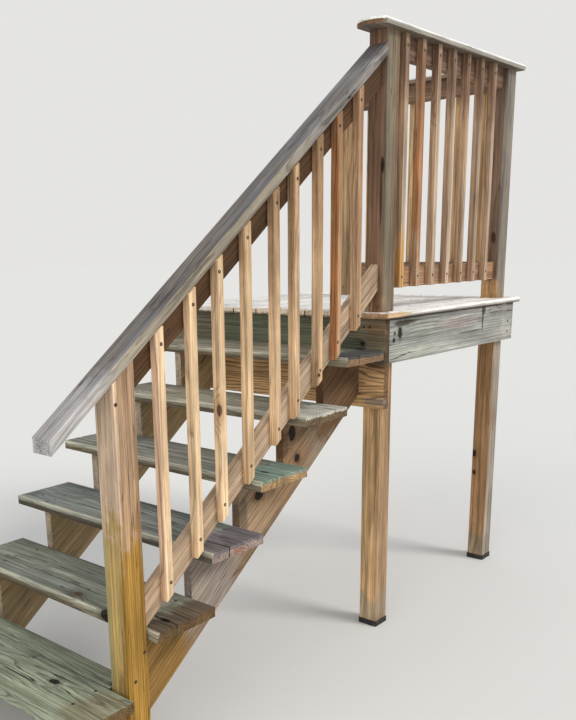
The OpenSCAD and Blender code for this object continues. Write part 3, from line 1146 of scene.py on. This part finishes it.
@dataclass
class Flight(Assembly):
    """The flight: two saw-tooth stringers and six treads of two boards.

    Attributes:
        stringer_lines: Middles of the stringers.
        front: Width of a tread's front board, to the middle of the gap behind it.
        low_front: The same of the lowest tread.
    """

    stringer_lines: tuple[float, float] = (-1.21, -0.369)
    front: float = 0.0915
    low_front: float = 0.2375

    def build(self) -> None:
        """Dresses the flight and drives its screws."""
        self.dress("stringer_outer", Wood.STRINGER, Grain.SLOPED, WearAndLight(stains_and_light=(
            StainAndLight((-1.62, STRINGER_Y, -0.78), (0.17, 0.06, 0.22), "9a8e85", 0.85, 0.6),
            StainAndLight((-1.36, STRINGER_Y, -0.60), (0.15, 0.06, 0.13), "a48a6e", 0.75, 0.8),
            StainAndLight((-1.95, STRINGER_Y, -1.15), (0.25, 0.06, 0.27), "8e6c38", 0.9, 0.5, 0.15),
            StainAndLight((-1.18, STRINGER_Y, -0.44), (0.20, 0.06, 0.16), "947456", 0.7, 0.8),
            StainAndLight((-0.80, STRINGER_Y, -0.2), (0.20, 0.06, 0.2), "60442c", 0.85, 0.7),
            StainAndLight((-1.19, STRINGER_Y, -0.36), (0.05, 0.06, 0.05), "5c4230", 0.7, 1.2),
            StainAndLight((-1.42, STRINGER_Y, -0.60), (0.025, 0.06, 0.08), "60544a", 0.6, 1.0),
        ), knots=(
            Knot((-1.1158, STRINGER_Y, -0.3267), 0.023, (0.8, 1.0, 1.2)),
            Knot((-1.0833, STRINGER_Y, -0.4369), 0.015),
            Knot((-1.3262, STRINGER_Y, -0.5371), 0.018, (1.2, 1.0, 0.9)),
        )))
        self.dress("stringer_inner", Wood.STRINGER, Grain.SLOPED, WearAndLight(
            sides=(Side(OUTWARD, "9a8662", 0.75),
                   Side(FOOTWARD, "baac98", 0.7))))
        # Top, its outer end, end grain and front of each tread, and the outer end's reach
        looks = {
            2: ("808478", "5c4a3a", "584226", "887e68", 0.115),
            3: ("7a8080", "70686c", "968680", "5c564c", 0.16),
            4: ("8c8a82", "788e82", "b6946a", "887e68", 0.16),
            5: ("a09682", "cecdc2", "655441", "887e68", 0.13),
            6: ("92846e", "424548", "80644e", "887e68", 0.12),
        }
        marks = {
            2: (Knot((-2.006, -1.10, -0.842), 0.017, (1.2, 1.5, 1.0)),
                Knot((-1.918, -1.305, -0.829), 0.011, (0.8, 1.5, 1.0))),
            4: (Knot((-1.345, -1.275, -0.433), 0.006, (1.0, 2.5, 1.0)),),
        }
        for k, (top, outer_end, cut, front, reach) in looks.items():
            low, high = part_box(f"tread_{k}")
            middle = (low.x + high.x) / 2
            self.dress(f"tread_{k}", Wood.TREAD, Grain.ACROSS, WearAndLight(
                row=BoardRow(0, (low.x + self.front,)),
                sides=(Side(OUTWARD, cut, 0.85), Side(FOOTWARD, front, 0.75),
                       Side(DOWN, "78644c", 0.7)),
                stains_and_light=(
                    StainAndLight((middle, -0.7, high.z), (0.3, 0.56, 0.012), top, 0.6, 1.2, 0.4),
                    StainAndLight((middle, low.y, high.z), (0.4, reach, 0.012), outer_end,
                          0.85, 0.8, 0.25),
                    # pale line along the front top edge: worn wood, with a painted highlight
                    StainAndLight((low.x, -0.78, high.z), (0.011, 1.2, 0.014), "c4c2b0", 0.75, 0.6),
                    StainAndLight((low.x, -0.55, high.z - 0.034), (0.012, 0.5, 0.012), "544634", 0.7, 1.2),
                    StainAndLight((-1.594, -1.361, -0.655), (0.032, 0.02, 0.010), "a06c56", 0.75, 1.2),
                ), knots=marks.get(k, ())))
        low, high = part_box("tread_1")
        self.dress("tread_1", Wood.LOW_TREAD, Grain.ACROSS, WearAndLight(
            row=BoardRow(0, (low.x + self.low_front,)),
            sides=(Side(OUTWARD, "6e5436", 0.85), Side(DOWN, "6e5c46", 0.7)),
            stains_and_light=(StainAndLight((low.x + 0.12, -1.29, high.z), (0.10, 0.09, 0.012), "7c7054",
                          0.6, 1.0),),
            knots=(Knot((low.x + 0.15, -1.05, high.z), 0.012, (0.9, 1.6, 1.0)),)))
        self.fasten()

    def fasten(self) -> None:
        """Drives two screws through each tread board into each stringer."""
        heads = []
        for k in range(1, 7):
            low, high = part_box(f"tread_{k}")
            rows = (0.024, 0.066, 0.125, 0.225) if k > 1 else (0.10, 0.20, 0.262, 0.305)
            for x in rows:
                for y in self.stringer_lines:
                    heads.append(((low.x + x, y + 0.006 * math.sin(40 * x + k), high.z), UP))
        self.screws.drive("tread_screws", heads, "tread_wood")


@dataclass
class StairGuard(Assembly):
    """The guard of the flight: newel, handrail, sloped rails and balusters.

    Attributes:
        steps: From each baluster's left side to the next one's, from the foot up.
        slope: Rise of the handrail for each metre.
    """

    steps: tuple[float, ...] = (0.151, 0.133, 0.146, 0.157, 0.115, 0.147, 0.122, 0.142)
    slope: float = 0.749

    def build(self) -> None:
        """Dresses the guard and drives its screws."""
        self.dress("newel_post", Wood.NEWEL, Grain.UPRIGHT, WearAndLight(stains_and_light=(
            # painted light: the upper left face is lighter, as if lit from the left
            StainAndLight((NEWEL_X, -1.27, -0.08), (0.012, 0.2, 0.50), "d8bea4", 0.8, 0.8),
            StainAndLight((NEWEL_X, -1.27, -1.30), (0.012, 0.2, 0.84), "b0945a", 0.9, 0.35, 0.06),
            StainAndLight((-2.06, POST_Y, -1.30), (0.2, 0.012, 0.79), "a47c30", 0.9, 0.35, 0.06),
            StainAndLight((NEWEL_X, -1.232, -0.8), (0.02, 0.016, 0.34), "98946a", 0.7, 0.6),
            StainAndLight((NEWEL_X, -1.30, -1.15), (0.02, 0.012, 0.3), "966c2c", 0.7, 0.7),
        )))
        self.dress("handrail", Wood.HANDRAIL, Grain.SLOPED, WearAndLight(
            sides=(Side(OUTWARD, "988e7d", 0.9),),
            stains_and_light=(
                StainAndLight((-0.80, POST_Y, 0.95), (0.42, 0.008, 0.42), "8c8988", 0.7, 0.6, 0.5),
                StainAndLight((-2.31, -1.30, -0.07), (0.20, 0.2, 0.20), "b0adad", 0.85, 0.8, 0.5),
                StainAndLight((-0.66, -1.27, 1.16), (0.12, 0.05, 0.12), "4c4846", 0.6, 1.2, 0.5),
            )))
        # painted shadow: the upper rail's outer face is darkened as in the handrail's shade
        self.dress("stair_upper_rail", Wood.STAIR_RAIL, Grain.SLOPED, WearAndLight(
            sides=(Side(OUTWARD, "442b16", 0.92), Side(DOWN, "78583c", 0.6))))
        self.dress("stair_lower_rail", Wood.STAIR_RAIL, Grain.SLOPED)
        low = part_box("stair_balusters")[0]
        lefts = [low.x]
        for step in self.steps:
            lefts.append(lefts[-1] + step)
        edges = tuple(x - 0.04 for x in lefts[1:])
        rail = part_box("handrail")[0]
        heads = (StainAndLight((x, -1.34, rail.z + (x - rail.x) * self.slope), (0.18, 0.1, 0.36),
                       "967252", share, 0.8, 0.6)
                 for x, share in ((-1.62, 0.25), (-1.32, 0.55), (-1.0, 0.6), (-0.7, 0.5)))
        self.dress("stair_balusters", Wood.STAIR_BALUSTER, Grain.UPRIGHT, WearAndLight(
            # painted light: the balusters' left faces are lightened against the shade of the
            # handrail and newel
            row=BoardRow(0, edges), sides=(Side(FOOTWARD, "f0ca9e", 0.85),),
            stains_and_light=(
                # painted light: the lowest balusters, and the first one's left face, lightened
                # against the shade near the newel
                StainAndLight((-1.76, -1.34, -0.2), (0.22, 0.1, 1.4), "f0d0a8", 0.7, 0.6, 0.3),
                StainAndLight((low.x, -1.325, -0.5), (0.006, 0.1, 0.8), "fcd6b4", 0.8, 0.3, 0.2),
                StainAndLight((-0.70, -1.34, 0.6), (0.60, 0.1, 2.0), "b89676", 0.75, 0.5, 0.6),
                *heads,
                StainAndLight((-1.52, GUARD_Y, 0.1), (0.010, 0.02, 0.22), "78502c", 0.8, 0.7),
                StainAndLight((-1.50, GUARD_Y, -0.06), (0.006, 0.02, 0.16), "704a2a", 0.8, 0.7),
                StainAndLight((lefts[7], -1.34, 0.30), (0.009, 0.05, 0.6), "b27240", 0.85, 0.6),
                StainAndLight((-0.80, -1.34, 0.55), (0.022, 0.05, 0.6), "a88466", 0.6, 0.7),
            ), knots=(
                Knot((-1.0838, GUARD_Y, -0.048), 0.009, (1.0, 1.0, 1.5)),
                Knot((-1.0651, GUARD_Y, -0.0904), 0.006),
            )))
        self.fasten(lefts)

    def fasten(self, lefts: Sequence[float]) -> None:
        """Drives the screws of the balusters and the newel.

        Args:
            lefts: Left side of each baluster, from the foot up.
        """
        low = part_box("stair_balusters")[0]
        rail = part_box("handrail")[0]
        heads = []
        for i, left in enumerate(lefts):
            middle = left + BALUSTER / 2
            foot = low.z + (middle - lefts[0]) * (RISE / GOING)
            under = rail.z + (middle - rail.x) * self.slope
            for z in (foot + 0.055 + 0.006 * math.sin(3 * i), under - SCREW_IN):
                heads.append(((middle + 0.004 * math.cos(5 * i), low.y, z), OUTWARD))
        self.screws.drive("stair_guard_screws", heads, "baluster_wood")
        newel = [((x, POST_Y, z), OUTWARD)
                 for x, z in ((-2.0945, -0.056), (-2.03, -0.90), (-2.075, -0.99))]
        self.screws.drive("newel_screws", newel, "newel_wood")


@dataclass
class Studio:
    """Floor, light and camera.

    Attributes:
        lens: Focal length for a 36 mm frame along the photograph's long side.
        shift: Shift of the camera's frame.
        eye: Place of the camera.
        right: The picture's right, in the CAD frame.
        down: The picture's down, in the CAD frame.
    """

    lens: float = 41.343
    shift: tuple[float, float] = (0.0745, 0.1369)
    eye: Point = (-3.6866, -3.2320, 0.3865)
    right: Point = (0.665692, -0.745944, -0.020538)
    down: Point = (-0.194551, -0.146918, -0.969827)

    def build(self) -> None:
        """Sets up the floor, the lights and the camera."""
        self.floor()
        self.lights()
        self.camera()
        bpy.context.scene.view_settings.view_transform = "Standard"

    def floor(self) -> None:
        """Lays a plain pale floor under the posts."""
        clear_selection()
        bpy.ops.mesh.primitive_plane_add(size=160.0, location=(0.0, 0.0, FLOOR_Z))
        floor = bpy.context.active_object
        floor.name = "studio_floor"
        made, sheet = new_material("studio_floor_pale")
        sheet.surface(Base_Color=(0.80, 0.80, 0.79), Roughness=0.95, Specular_IOR_Level=0.0)
        floor.data.materials.append(made)

    def lights(self) -> None:
        """Sets a soft key from the right front and an even pale world."""
        world = bpy.data.worlds.new("pale_studio")
        bpy.context.scene.world = world
        world.use_nodes = True
        world.node_tree.nodes.clear()
        sheet = Sheet(world.node_tree)
        soft = sheet.wires("ShaderNodeBackground", {"Color": (0.96, 0.98, 1.0), "Strength": 0.55})
        back = sheet.wires("ShaderNodeBackground", {"Color": (0.785, 0.778, 0.764)})
        both = sheet.wires("ShaderNodeMixShader", {
            0: sheet.wires("ShaderNodeLightPath")["Is Camera Ray"], 1: soft["Background"],
            2: back["Background"]})
        sheet.add("ShaderNodeOutputWorld", {"Surface": both["Shader"]})
        for name, power, spread, way in (("key", 1.65, 24.0, (0.22, -0.74, 0.64)),
                                         ("fill", 0.75, 60.0, (-0.86, -0.12, 0.50))):
            light = bpy.data.lights.new(name, "SUN")
            light.energy = power
            light.angle = math.radians(spread)
            light.color = (1.0, 0.97, 0.92)
            lamp = bpy.data.objects.new(name, light)
            bpy.context.scene.collection.objects.link(lamp)
            lamp.rotation_mode = "QUATERNION"
            lamp.rotation_quaternion = Vector(way).to_track_quat("Z", "Y")

    def camera(self) -> None:
        """Puts the camera where the photograph was taken from."""
        lens = bpy.data.cameras.new("photo_view")
        lens.lens = self.lens
        lens.sensor_width = 36.0
        lens.shift_x, lens.shift_y = self.shift
        lens.clip_start, lens.clip_end = 0.05, 300.0
        camera = bpy.data.objects.new("photo_view", lens)
        bpy.context.scene.collection.objects.link(camera)
        right = Vector(self.right).normalized()
        up = -Vector(self.down).normalized()
        back = right.cross(up)
        turn = Matrix((right, up, back)).transposed().to_4x4()
        camera.matrix_world = Matrix.Translation(self.eye) @ turn
        bpy.context.scene.camera = camera


def main() -> None:
    """Loads the frame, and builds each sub-assembly and the studio."""
    logging.basicConfig(level=logging.INFO, format="%(name)s: %(message)s")
    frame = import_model()
    shop = WoodShop()
    screws = ScrewBox()
    nodes = frame["nodes"]
    for part in (Landing, LandingGuard, Flight, StairGuard):
        part(nodes, shop, screws).build()
        LOG.info("%s: built", part.__name__)
    screws.put_away()
    Studio().build()
    bpy.context.view_layer.update()


if __name__ == "__main__":
    main()
